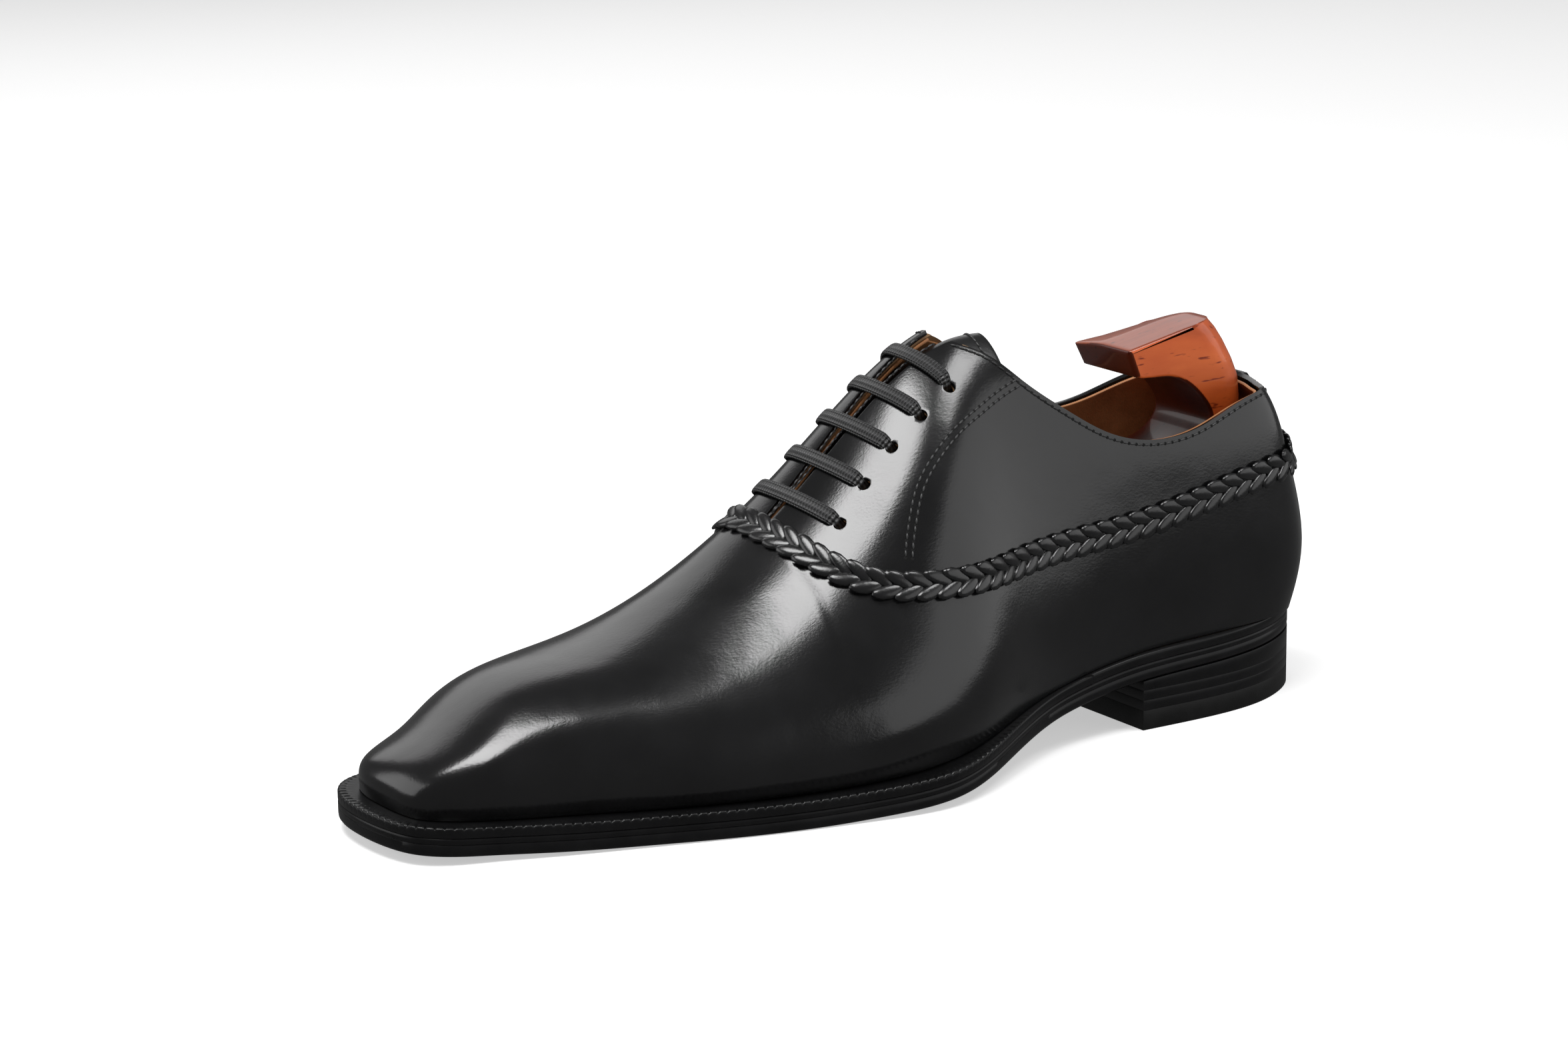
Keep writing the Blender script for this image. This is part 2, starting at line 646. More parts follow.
def leaf_shape(unit):
    x, y, z = unit.T
    bow = 0.22 * (1 - x ** 2)
    return np.stack([x * LEAF_LENGTH / 2, (y + bow) * LEAF_WIDTH / 2,
                     np.sign(z) * np.abs(z) ** 0.75 * LEAF_RISE * np.where(z > 0, 1.0, 0.5)], -1)


def plait_frames(line, row):
    """Origins and frames of the leaves of one row, row 1 above and -1 below the centre."""
    line = even(line, pitch=LEAF_PITCH)
    line = even(line, count=len(line) * 2)[(0 if row > 0 else 1)::2]
    onward = np.gradient(last_point(*line.T), axis=0)
    origins, frames = frame_at(line, onward)
    angle, dip = math.radians(24) * row, math.radians(-7)
    ahead, left, up = frames[:, 0], frames[:, 1], frames[:, 2]
    out = ahead * math.cos(angle) + left * math.sin(angle)
    across = np.cross(up, out) * row
    tipped = out * math.cos(dip) - up * math.sin(dip)
    raised = up * math.cos(dip) + out * math.sin(dip)
    origins = origins + left * row * 1.55 + up * 0.75
    return origins, np.stack([tipped, across, raised], 1)


rows = [plait_frames(plait_line, row) for row in (1, -1)]
plait_leaf = ball(12, 8, leaf_shape)
plait = stamp("plait_leather", plait_leaf, np.vstack([r[0] for r in rows]),
              np.vstack([r[1] for r in rows]))
core_line = even(plait_line, 420)


def core_place(s, t):
    """A thin flat core under the leaves, which closes the gaps between them."""
    line = along(core_line, t)
    onward = last_point(*along(core_line, np.minimum(t + 0.002, 1)).T) \
        - last_point(*along(core_line, np.maximum(t - 0.002, 0)).T)
    origins, frames = frame_at(line, onward)
    angle = 2 * math.pi * s
    return (origins + frames[:, 1] * (2.7 * np.cos(angle))[:, None]
            + frames[:, 2] * (0.45 + 0.42 * np.sin(angle))[:, None])


def tube(name, around, long, place):
    """A grid rolled into a tube and closed at both ends."""
    piece = sheet(name, around, long, place)
    edit(piece, (bpy.ops.mesh.remove_doubles, {"threshold": 1e-6}),
         (bpy.ops.mesh.select_all, {"action": "DESELECT"}),
         (bpy.ops.mesh.select_non_manifold, {}),
         (bpy.ops.mesh.fill_holes, {"sides": 0}),
         (bpy.ops.mesh.select_all, {"action": "SELECT"}),
         (bpy.ops.mesh.normals_make_consistent, {"inside": False}))
    return smooth(piece, 60)


plait_core = tube("plait_core", 10, 420, core_place)
print("plait leaves:", sum(len(r[0]) for r in rows))

# %% [markdown]
# ## Stitches
# Lockstitch shows as short domed beads of thread that dive into needle holes. A bead is a six
# sided ball, longer than wide. Dark holes between the beads are small flat ovals.

# %% Stitch rows on the upper
STITCH_PITCH, STITCH_LENGTH, THREAD = 2.6, 2.1, 0.7


def stitch_shape(unit):
    return unit * (STITCH_LENGTH / 2, THREAD / 2, THREAD / 2)


def hole_shape(unit):
    return unit * (0.62, 0.55, 0.05)


def stitch_rows(name, lines, height=0.0, turn=0.0):
    """Thread beads and needle holes along uv lines at a height above the leather."""
    made = []
    for suffix, shape, offset, lift in (("thread", stitch_shape, 0.0, 0.10),
                                        ("holes", hole_shape, 0.5, 0.02)):
        origins, frames = [], []
        for line in lines:
            count = max(2, int(round(length_of(line) / STITCH_PITCH)))
            t = (np.arange(count) + 0.5 + offset) / (count + 1)
            places = along(even(line, 400), t)
            onward = np.gradient(last_point(*places.T), axis=0)
            o, f = frame_at(places, onward)
            c, s = math.cos(turn), math.sin(turn)
            f = np.stack([f[:, 0] * c + f[:, 1] * s, f[:, 1] * c - f[:, 0] * s, f[:, 2]], 1)
            origins.append(o + f[:, 2] * (height + lift))
            frames.append(f)
        made.append(stamp(name + "_" + suffix, ball(6, 5, shape), np.vstack(origins),
                          np.vstack(frames)))
    return made


QUARTER_SEAM = [(-67.3, 107.9), (-76, 105.5), (-85.9, 102), (-94.6, 98.6), (-101.7, 94.4),
                (-108.2, 89.1), (-112.9, 83.7), (-115.9, 78.8), (-120.5, 69.5), (-122.9, 63)]
seam_lines, edge_lines = [], []
for side in (LATERAL, MEDIAL):
    v_range = (0.0, 4.0) if side == LATERAL else (4.0, 8.0)
    seam = even(find(smooth_line(QUARTER_SEAM, 60), (1, 2), (7.0, 13.0), v_range), 60)
    seam = seam[1:-2]
    seam_lines += [shift(seam, 1.0), shift(seam, -1.0)]
    bottom, top, front, back = quarter_edges(side)
    sign = -side
    edge_lines += [shift(even(top, 120), 1.5 * sign), shift(even(front, 60), -1.5 * sign)[1:-2]]
seam_thread, seam_holes = stitch_rows("quarter_seam", seam_lines, 0.0, 0.12)
edge_thread, edge_holes = stitch_rows("edge_row", edge_lines, 0.0, 0.08)

s_round = np.linspace(-1, 1, 60)
tongue_edge = tongue_uv(np.concatenate([np.zeros(40), (s_round + 1) / 2, np.ones(40)]),
                        np.concatenate([np.linspace(0.6, 0.97, 40), np.full(60, 0.97),
                                        np.linspace(0.97, 0.6, 40)]), inset=2.4)
tongue_thread, tongue_holes = stitch_rows("tongue_row", [even(tongue_edge, 160)], -TONGUE_DEPTH)

# %% [markdown]
# ## Lace
# One flat woven lace crosses the gap in five straight bars. Each end narrows where its hole
# gathers it and dives into the hole. A grid rolled into a flattened tube follows that path.

# %% Five bars
LACE_WIDTH, LACE_GATHERED, LACE_THICKNESS = 4.7, 3.5, 1.3
bars = []
for number, (near_uv, far_uv) in enumerate(zip(eyelet_uv[LATERAL], eyelet_uv[MEDIAL]), start=1):
    ends = last_point(*np.stack([near_uv, far_uv]).T)
    straight_run = ends[0] + np.linspace(0, 1, 90)[:, None] * (ends[1] - ends[0])
    route = even(polish(straight_run, (0, 1, 2), near_uv + np.linspace(0, 1, 90)[:, None]
                        * (far_uv - near_uv)), 90)
    run = length_of(route)

    def bar_place(s, t, route=route, run=run):
        line = along(route, t)
        onward = last_point(*along(route, np.minimum(t + 0.01, 1)).T) \
            - last_point(*along(route, np.maximum(t - 0.01, 0)).T)
        origins, frames = frame_at(line, onward)
        inside = np.minimum(t, 1 - t) * run
        free = np.clip(inside / 4.5, 0, 1)
        free = free * free * (3 - 2 * free)
        width = LACE_GATHERED + (LACE_WIDTH - LACE_GATHERED) * free
        lift = -3.4 + (3.4 + 1.0) * np.sqrt(np.clip(inside / 3.4, 0, 1))
        angle = 2 * math.pi * s
        side_way = np.sign(np.cos(angle)) * np.abs(np.cos(angle)) ** 0.7 * width / 2
        rise = np.sign(np.sin(angle)) * np.abs(np.sin(angle)) ** 0.7 * LACE_THICKNESS / 2
        return (origins + frames[:, 1] * side_way[:, None]
                + frames[:, 2] * (rise + lift)[:, None])

    bars.append(tube("lace_bar_" + str(number), 20, 80, bar_place))
lace = join("lace_flat", *bars)
print("lace bars:", len(bars))

# %% [markdown]
# ## Sole
# Welt, outsole and heel stack share one outline. Each layer is a stack of rings: the outline
# is moved inwards a little at the top and bottom so that the edge is rounded, and further
# rings shrink to the middle line to close it. Heights are measured from the curved underside.

# %% The sole outline
SOLE_MARKS = [(-4, -273.6), (10, -272.2), (19, -268.5), (25, -260.5), (28.6, -250), (35, -232),
              (43.5, -205), (52.5, -175), (59, -146), (61.6, -120), (49.5, -92), (36.5, -64),
              (33.8, -34), (34, -10), (30.6, 14), (25, 26), (14.5, 37.5), (0, 42.3), (-14.5, 37.5),
              (-25, 26), (-30.6, 14), (-34, -10), (-32, -34), (-27.4, -62), (-26.8, -92),
              (-33, -120), (-41, -147), (-46.4, -176), (-45.2, -205), (-41, -232), (-36, -253),
              (-29.5, -265), (-19, -271.5)]
OUTSOLE, WELT, WELT_WIDTH = 5.4, 3.0, 9.0
HEEL_BREAST_Y, RAND_Y = -33.0, -52.0
laps = SOLE_MARKS[-6:] + SOLE_MARKS + SOLE_MARKS[:7]
outline = smooth_line(laps, 20000)
first, last_one = (np.linalg.norm(outline[k * 10000:(k + 1) * 10000] - SOLE_MARKS[0],
                                  axis=1).argmin() + k * 10000 for k in (0, 1))
outline = outline[first:last_one]


def resample(line, count, closed=True):
    line = np.vstack([line, line[:1]]) if closed else line
    run = np.concatenate([[0], np.cumsum(np.linalg.norm(np.diff(line, axis=0), axis=1))])
    at = np.linspace(0, run[-1], count + 1 if closed else count)
    at = at[:count]
    return np.stack([np.interp(at, run, line[:, k]) for k in (0, 1)], -1)


def inwards(line, closed=True):
    """Unit normals of a plan line that runs with its inside on the right or left."""
    ahead = (np.roll(line, -1, 0) - np.roll(line, 1, 0)) if closed else np.gradient(line, axis=0)
    ahead /= np.linalg.norm(ahead, axis=1, keepdims=True)
    inside = np.stack([-ahead[:, 1], ahead[:, 0]], -1)
    middle = np.array([0.0, -110.0])
    return inside if ((middle - line) * inside).sum() > 0 else -inside


def spine(line, reach=22.0):
    """The middle line that caps shrink to."""
    y = np.clip(line[:, 1], line[:, 1].min() + reach, line[:, 1].max() - reach)
    at = np.linspace(line[:, 1].min() + 1, line[:, 1].max() - 1, 80)
    low = [line[np.abs(line[:, 1] - v) < 4][:, 0].min() for v in at]
    high = [line[np.abs(line[:, 1] - v) < 4][:, 0].max() for v in at]
    return np.stack([np.interp(y, at, (np.array(low) + high) / 2), y], -1)


def ring_stack(name, line, profile, closed=True, curved=True, caps=True, bumps=None):
    """A layer of the sole. profile is (inset, height) from the bottom edge to the top one."""
    normal, rings = inwards(line, closed), []
    shrink = (0.04, 0.12, 0.3, 0.6, 1.0)
    middle = spine(line) if caps else None
    plans = [(line + normal * inset, height) for inset, height in profile]
    if caps:
        first_plan, last_plan = plans[0], plans[-1]
        plans = ([(first_plan[0] + (middle - first_plan[0]) * k, first_plan[1])
                  for k in shrink[::-1]] + plans
                 + [(last_plan[0] + (middle - last_plan[0]) * k, last_plan[1]) for k in shrink])
    for number, (plan, height) in enumerate(plans):
        z = height + (sole_underside(plan[:, 1]) if curved else 0 * plan[:, 0])
        rings.append(np.column_stack([plan, z]))
    rings = np.array(rings)
    if bumps is not None:
        rings[..., 2] += bumps(rings)
    count, levels = rings.shape[1], rings.shape[0]

    def place(s, t):
        column = np.rint(s * (count if closed else count - 1)).astype(int) % count
        return rings[np.rint(t * (levels - 1)).astype(int), column]

    piece = sheet(name, count if closed else count - 1, levels - 1, place)
    steps = [(bpy.ops.mesh.remove_doubles, {"threshold": 2e-6}),
             (bpy.ops.mesh.select_all, {"action": "DESELECT"}),
             (bpy.ops.mesh.select_non_manifold, {}), (bpy.ops.mesh.fill_holes, {"sides": 0}),
             (bpy.ops.mesh.select_all, {"action": "SELECT"}),
             (bpy.ops.mesh.normals_make_consistent, {"inside": False})]
    edit(piece, *steps)
    return smooth(piece, 50)


# %% Outsole
sole_line = resample(outline, 700)
outsole_profile = [(1.4, 0.0), (0.5, 0.2), (0.1, 0.75), (0.0, 1.6), (0.0, 3.35), (0.22, 3.55),
                   (0.0, 3.75), (0.0, 4.6), (0.12, 5.1), (0.5, OUTSOLE)]
outsole = ring_stack("outsole_leather", sole_line, outsole_profile)

# %% [markdown]
# ## Welt and heel rand
# The welt is a strip round the forepart, its top edge marked by a hot toothed wheel. Those
# notches are real dents here: every second ring point sinks over the outer two millimetres.
# They fade towards the waist. Behind the waist the plain rand takes over.

# %% Welt and rand as open strips
NOTCH_PITCH, NOTCH_DEPTH = 2.7, 0.5
past_waist = (outline[:-1, 1] < RAND_Y) & (outline[1:, 1] >= RAND_Y)
turned = np.roll(outline, -int(np.where(past_waist)[0][0]), 0)
is_rand = turned[:, 1] > RAND_Y
rand_line = resample(turned[is_rand], 260, closed=False)
welt_line = resample(turned[~is_rand], 1900, closed=False)
welt_run = np.concatenate([[0], np.cumsum(np.linalg.norm(np.diff(welt_line, axis=0), axis=1))])


def wheel_marks(rings):
    phase = (welt_run / NOTCH_PITCH) % 1.0
    dent = np.clip(1 - np.abs(phase - 0.5) / 0.17, 0, 1)
    fade = np.clip((-78 - welt_line[:, 1]) / 25, 0, 1)
    from_edge = np.linalg.norm(rings[..., :2] - welt_line[None], axis=2)
    outer = np.clip((2.6 - from_edge) / 0.5, 0, 1) * (rings[..., 2] > sole_underside(
        rings[..., 1]) + OUTSOLE + WELT * 0.72)
    return -NOTCH_DEPTH * dent * fade * outer


strip_profile = [(8.6, 0.0), (0.2, 0.0), (0.0, 0.3), (0.0, 2.2), (0.12, 2.6), (0.4, 2.85),
                 (0.8, 2.97),
                 (1.4, 3.0), (2.0, 3.0), (2.5, 3.0), (3.0, 3.0), (4.5, 3.0), (WELT_WIDTH, 3.0),
                 (WELT_WIDTH, 0.0), (8.6, 0.0)]
strip_profile = [(inset, OUTSOLE + height) for inset, height in strip_profile]
welt = ring_stack("welt_leather", welt_line, strip_profile, closed=False, caps=False,
                  bumps=wheel_marks)
rand = ring_stack("heel_rand_leather", rand_line, strip_profile, closed=False, caps=False)

# %% [markdown]
# ## Heel
# The heel is a stack: a rubber top piece on the ground, two level lifts and one that is cut to
# the curve of the sole. All have the same plan, straight at the breast. A fine line shows
# between the layers because each one has rounded edges.

# %% Heel layers
TOP_PIECE, LIFT = 6.0, 3.1
heel_arc = resample(turned[turned[:, 1] > HEEL_BREAST_Y], 150, closed=False)
breast = np.stack([np.linspace(heel_arc[-1, 0], heel_arc[0, 0], 42)[1:-1],
                   np.full(40, HEEL_BREAST_Y)], -1)
heel_line = np.vstack([heel_arc, breast])


def heel_layer(name, low, high, groove=0.05):
    """One layer of the heel, from one height to another, or to the sole's underside."""
    inner = heel_line.mean(0)
    bottom = [(0.4, low), (groove, low + 0.02), (0.0, low + 0.12)]
    top = [(0.0, -0.12), (groove, -0.02), (0.4, 0.0)]
    rings = []
    normal = inwards(heel_line)
    normal = np.where(((inner - heel_line) * normal).sum(1)[:, None] > 0, normal, -normal)
    for inset, z in bottom:
        plan = heel_line + normal * inset
        rings.append(np.column_stack([plan, np.full(len(plan), z)]))
    for inset, z in top:
        plan = heel_line + normal * inset
        ceiling = sole_underside(plan[:, 1]) if high is None else np.full(len(plan), high)
        rings.append(np.column_stack([plan, ceiling + z]))
    for shrink in (0.35, 0.75, 1.0):
        for edge in (0, -1):
            ring = rings[edge].copy()
            ring[:, :2] += (spine(ring[:, :2], 24.0) - ring[:, :2]) * shrink
            if high is None and edge == -1:
                ring[:, 2] = sole_underside(ring[:, 1])
            rings.insert(0 if edge == 0 else len(rings), ring)
    rings = np.array(rings)
    count, levels_count = rings.shape[1], rings.shape[0]
    piece = sheet(name, count, levels_count - 1, lambda s, t: rings[
        np.rint(t * (levels_count - 1)).astype(int), np.rint(s * count).astype(int) % count])
    edit(piece, (bpy.ops.mesh.remove_doubles, {"threshold": 2e-6}),
         (bpy.ops.mesh.normals_make_consistent, {"inside": False}))
    return smooth(piece, 50)


top_piece = heel_layer("heel_top_piece", 0.0, TOP_PIECE)
lift_tops = [TOP_PIECE + LIFT, TOP_PIECE + 2 * LIFT, None]
lifts = [heel_layer("heel_lift_" + str(k + 1) + "_leather", TOP_PIECE + LIFT * k, top)
         for k, top in enumerate(lift_tops)]

# %% [markdown]
# ## Shoe tree
# The heel block of the tree is sawn from beech to the side profile of a heel, with a carry
# handle that leaves the shoe. A bandsaw could be copied by extruding the profile and rounding
# it with a bevel, but the back is a D in plan and the handle's top falls to one side. So the
# block is a row of slices from side to side, each the same closed profile, changed a little:
# drawn in near the sides to break the edges, its back brought forward, its top lowered.

# %% Heel block
HANDLE_TOP = [(-24, 109.9), (-15, 111.7), (-6, 113.5), (4, 115.2), (9, 115.6)]
BLOCK_BACK = [(12, 115.1), (15, 112), (18, 107.8), (21.4, 102), (23.8, 96.6), (24.6, 90),
              (24.9, 84), (27.6, 70), (29.4, 52), (27, 36)]
BLOCK_FOOT = [(18, 33.5), (-20, 33.5), (-26, 39), (-26, 68), (-20, 74)]
HANDLE_UNDER = [(-7, 75.5), (3, 79), (7.6, 85.2), (4.1, 92.1), (-1.5, 97.3), (-7.6, 100.1),
                (-13.7, 100.6), (-20.3, 101)]
BLOCK_WIDTH, BACK_ROUND, ARRIS = 28.0, 13.2, 1.1
FLAT_BACK = 0.8                          # half of the back's straight middle
NOSE_CHAMFER = 2.2                       # width of the nose's rounded vertical corners
NOSE_LOW, NOSE_Y = [100, 101, 110], [-60, -20.3, -24]
TILT_LOW, TILT_REACH = 102, 10           # where the sideways fall of the top starts
TILT_NOSE, TILT_BACK, TILT_LENGTH = 2.3, 2.1, 24
ACROSS, AROUND, SMOOTHINGS = 56, 420, 5


def smooth_profile():
    """The closed side view: smooth runs for top, back and hollow, straight ones for the foot."""
    runs = [smooth_line(HANDLE_TOP, 40), smooth_line(BLOCK_BACK, 70),
            np.array(BLOCK_FOOT, float), smooth_line(HANDLE_UNDER, 60)]
    line = resample(np.vstack(runs), AROUND)
    for _ in range(SMOOTHINGS):
        line = line * 0.5 + (np.roll(line, 1, 0) + np.roll(line, -1, 0)) * 0.25
    return line


block_line = smooth_profile()
ahead = np.roll(block_line, -1, 0) - np.roll(block_line, 1, 0)
ahead /= np.linalg.norm(ahead, axis=1, keepdims=True)
block_in = np.stack([-ahead[:, 1], ahead[:, 0]], -1)
turning = block_line * np.roll(block_line[:, ::-1], -1, 0)
block_in *= np.sign((turning[:, 0] - turning[:, 1]).sum())
block_rings = []
for x in -np.cos(np.linspace(0, math.pi, ACROSS)) * BLOCK_WIDTH / 2:
    from_side = BLOCK_WIDTH / 2 - abs(x)
    eased = ARRIS - math.sqrt(max(ARRIS ** 2 - max(ARRIS - from_side, 0) ** 2, 0))
    plan = block_line + block_in * eased
    round_it = BACK_ROUND - math.sqrt(max(BACK_ROUND ** 2 - max(abs(x) - FLAT_BACK, 0) ** 2, 0))
    back_y = np.interp(plan[:, 1], *np.array(BLOCK_BACK[::-1]).T[::-1])
    plan[:, 0] = np.minimum(plan[:, 0], back_y - round_it)
    corner = max(abs(x) - BLOCK_WIDTH / 2 + NOSE_CHAMFER, 0) ** 2 / (2 * NOSE_CHAMFER)
    nose_y = np.interp(plan[:, 1], NOSE_LOW, NOSE_Y)
    plan[:, 0] = np.where(plan[:, 1] > 99, np.maximum(plan[:, 0], nose_y + corner), plan[:, 0])
    near_top = np.clip((plan[:, 1] - TILT_LOW) / TILT_REACH, 0, 1)
    tilt = (max(-x, 0) / (BLOCK_WIDTH / 2)) ** 1.4 * near_top
    towards_back = np.clip((plan[:, 0] + TILT_LENGTH) / TILT_LENGTH, 0, 1)
    plan[:, 1] -= tilt * (TILT_NOSE + TILT_BACK * towards_back)
    block_rings.append(np.column_stack([np.full(len(plan), x), plan]))
block_rings = np.array(block_rings)
block = sheet("tree_heel_block_wood", len(block_line), ACROSS - 1, lambda s, t: block_rings[
    np.rint(t * (ACROSS - 1)).astype(int),
    np.rint(s * len(block_line)).astype(int) % len(block_line)])
edit(block, (bpy.ops.mesh.remove_doubles, {"threshold": 1e-6}),
     (bpy.ops.mesh.select_all, {"action": "DESELECT"}),
     (bpy.ops.mesh.select_non_manifold, {}),
     (bpy.ops.mesh.fill_holes, {"sides": 0}),
     (bpy.ops.mesh.select_all, {"action": "SELECT"}),
     (bpy.ops.mesh.normals_make_consistent, {"inside": False}),
     (bpy.ops.mesh.flip_normals, {}))
smooth(block, 40)

# %% [markdown]
# The block's top, nose and hollow are darker than its sides. The shader could tell them by
# their direction, but a value stored on each vertex survives every change of pose.

# %% Darker stain on the block's top, nose and hollow
block_normals = np.zeros((len(block.data.vertices), 3), np.float32)
block.data.vertices.foreach_get("normal", block_normals.ravel())
block_points = points_of(block)
up, to_toe = block_normals[:, 2], -block_normals[:, 1]
NOSE_FOOT_Z, HOLLOW_TOP_Z, HOLLOW_FRONT_Y = 95, 100, -21
TOP_STAIN = 0.72
dark = np.clip((np.abs(up) - 0.55) / 0.25, 0, 1)
on_nose = block_points[:, 2] > NOSE_FOOT_Z
dark = np.maximum(dark, np.clip((to_toe - 0.45) / 0.3, 0, 1) * on_nose)
hollow = ((to_toe > 0.2) & (block_points[:, 2] < HOLLOW_TOP_Z)
          & (block_points[:, 1] > HOLLOW_FRONT_Y))
dark = np.where(hollow, 1.0, np.where(up > 0.5, dark * TOP_STAIN, dark))
stain = block.data.attributes.new("stain", "FLOAT", "POINT")
stain.data.foreach_set("value", dark.astype(np.float32))

# %% [markdown]
# ## Shader arithmetic
# A pattern is easier to read as a formula than as a web of nodes. `Wire` wraps a socket, so
# that `1 - mask * 0.5` adds its Math nodes. `Finish.node` adds any other node.

# %% Wire and Finish
class Wire:
    """A shader socket on which plain arithmetic adds Math nodes."""

    def __init__(self, finish, socket):
        self.finish, self.socket = finish, socket

    def math(self, operation, *values):
        return self.finish.node("ShaderNodeMath", {"operation": operation}, dict(enumerate(values)))

    def __add__(self, other):
        return self.math("ADD", self, other)

    def __mul__(self, other):
        return self.math("MULTIPLY", self, other)

    def __sub__(self, other):
        return self.math("SUBTRACT", self, other)

    def __rsub__(self, other):
        return self.math("SUBTRACT", other, self)

    __radd__, __rmul__ = __add__, __mul__


class Finish:
    """One procedural finish, built round a Principled shader."""

    def __init__(self, name, **constants):
        self.material = bpy.data.materials.new(name)
        self.material.use_nodes = True
        self.nodes = self.material.node_tree.nodes
        self.links = self.material.node_tree.links
        self.nodes.clear()
        self.shader = self.nodes.new("ShaderNodeBsdfPrincipled")
        output = self.nodes.new("ShaderNodeOutputMaterial")
        self.links.new(self.shader.outputs[0], output.inputs[0])
        for socket, value in constants.items():
            self.shader.inputs[socket.replace("_", " ")].default_value = value

    def feed(self, socket, value):
        if isinstance(value, Wire):
            self.links.new(value.socket, socket)
        else:
            socket.default_value = value

    def node(self, kind, settings=None, inputs=None, output=0):
        """Adds a node: its settings first, then the values or links of its sockets."""
        node = self.nodes.new(kind)
        for key, value in (settings or {}).items():
            if key == "stops":
                ramp = node.color_ramp.elements
                while len(ramp) < len(value):
                    ramp.new(1.0)
                for element, (position, colour) in zip(ramp, value):
                    element.position, element.color = position, (*colour, 1)
            else:
                setattr(node, key, value)
        for key, value in (inputs or {}).items():
            self.feed(node.inputs[key], value)
        return Wire(self, node.outputs[output])

    def place(self):
        """Object coordinates, in metres."""
        return self.node("ShaderNodeTexCoord", output="Object")

    def stretched(self, scale):
        """Object coordinates in which one unit is 1 / scale metres."""
        return self.node("ShaderNodeMapping", {}, {"Vector": self.place(), "Scale": scale})

    def noise(self, vector, scale, detail=3.0, roughness=0.5):
        return self.node("ShaderNodeTexNoise", {}, {"Vector": vector, "Scale": scale,
                                                    "Detail": detail, "Roughness": roughness})

    def ramp(self, value, stops):
        return self.node("ShaderNodeValToRGB", {"stops": stops}, {"Fac": value})

    def bump(self, height, distance, strength=1.0, normal=None):
        inputs = {"Height": height, "Distance": distance, "Strength": strength}
        if normal is not None:
            inputs["Normal"] = normal
        return self.node("ShaderNodeBump", {}, inputs)

    def to(self, **sockets):
        for socket, value in sockets.items():
            self.feed(self.shader.inputs[socket.replace("_", " ")], value)
        return self.material


# %% [markdown]
# ## Black calf
# Box calf is dyed almost black and polished: a sharp gloss over a fine grain of pebbles about
# half a millimetre wide, which shows only where a light's reflection ends. A slow, shallow
# waviness from lasting bends the longer highlights. Polish builds up unevenly, so the
# roughness drifts a little.

# %% Calf finish
def calf(name, colour, roughness, grain, wave, coat=0.0):
    finish = Finish(name, IOR=1.58, Coat_Roughness=0.08)
    fine = finish.noise(finish.stretched((1.0, 0.62, 1.0)), 1500.0, 3.0, 0.55)
    slow = finish.noise(finish.place(), 55.0, 2.0, 0.4)
    cloud = finish.noise(finish.place(), 32.0, 3.0, 0.6)
    broad = finish.bump(slow, wave, 1.0)
    pebbles = finish.bump(fine, grain, 1.0, broad)
    tint = finish.ramp(cloud, [(0.3, tuple(c * 0.75 for c in colour)),
                               (0.7, tuple(c * 1.3 for c in colour))])
    return finish.to(Base_Color=tint, Roughness=roughness + (cloud - 0.5) * 0.12,
                     Normal=pebbles, Coat_Weight=coat)


black_calf = calf("black_calf_polish", (0.0045, 0.0045, 0.0048), 0.19, 0.000030, 0.00030)
plait_calf = calf("plait_calf_polish", (0.005, 0.005, 0.0053), 0.24, 0.000040, 0.0001)
tongue_calf = calf("tongue_calf_polish", (0.005, 0.005, 0.0053), 0.28, 0.000035, 0.0002)

# %% [markdown]
# ## Lining, edges and thread
# The lining is smooth vegetable tanned leather, warm tan with darker clouds where it was
# handled, and much less shiny than the calf.

# %% Lining, sole edge, rubber and thread
def plain_leather(name, dark, light, roughness, scale, grain, ior=1.45):
    finish = Finish(name, IOR=ior)
    cloud = finish.noise(finish.place(), scale, 4.0, 0.6)
    pores = finish.noise(finish.place(), 1700.0, 2.0, 0.5)
    tint = finish.ramp(cloud, [(0.25, dark), (0.75, light)])
    return finish.to(Base_Color=tint, Roughness=roughness + (cloud - 0.5) * 0.15,
                     Normal=finish.bump(pores, grain))


tan_lining = plain_leather("tan_lining_leather", (0.22, 0.085, 0.03), (0.42, 0.19, 0.075), 0.5,
                           60.0, 0.00004)
sole_black = plain_leather("sole_edge_wax", (0.003, 0.003, 0.0032), (0.006, 0.006, 0.0064), 0.30,
                           90.0, 0.00002, 1.3)
rubber = plain_leather("heel_rubber_black", (0.004, 0.004, 0.004), (0.008, 0.008, 0.008), 0.45,
                       120.0, 0.00003, 1.3)
insole_tan = plain_leather("insole_shoulder_leather", (0.32, 0.18, 0.09), (0.5, 0.32, 0.17), 0.6,
                           50.0, 0.00004)
cork_brown = plain_leather("cork_crumb", (0.25, 0.13, 0.06), (0.55, 0.36, 0.2), 0.85, 600.0, 0.0003)
canvas_cream = plain_leather("canvas_rib", (0.55, 0.5, 0.42), (0.75, 0.7, 0.6), 0.9, 900.0, 0.0002)
thread = plain_leather("black_thread", (0.012, 0.012, 0.012), (0.035, 0.035, 0.036), 0.42, 900.0,
                       0.00005)
needle_hole = plain_leather("needle_hole_shadow", (0.001, 0.001, 0.001), (0.002, 0.002, 0.002),
                            0.9, 300.0, 0.00001)

# %% [markdown]
# ## Woven lace
# The lace is a flat tubular braid, waxed. Its strands cross as diamonds, which two crossed
# sine waves in the strip's own UV map give: u runs round the tube and v along it.

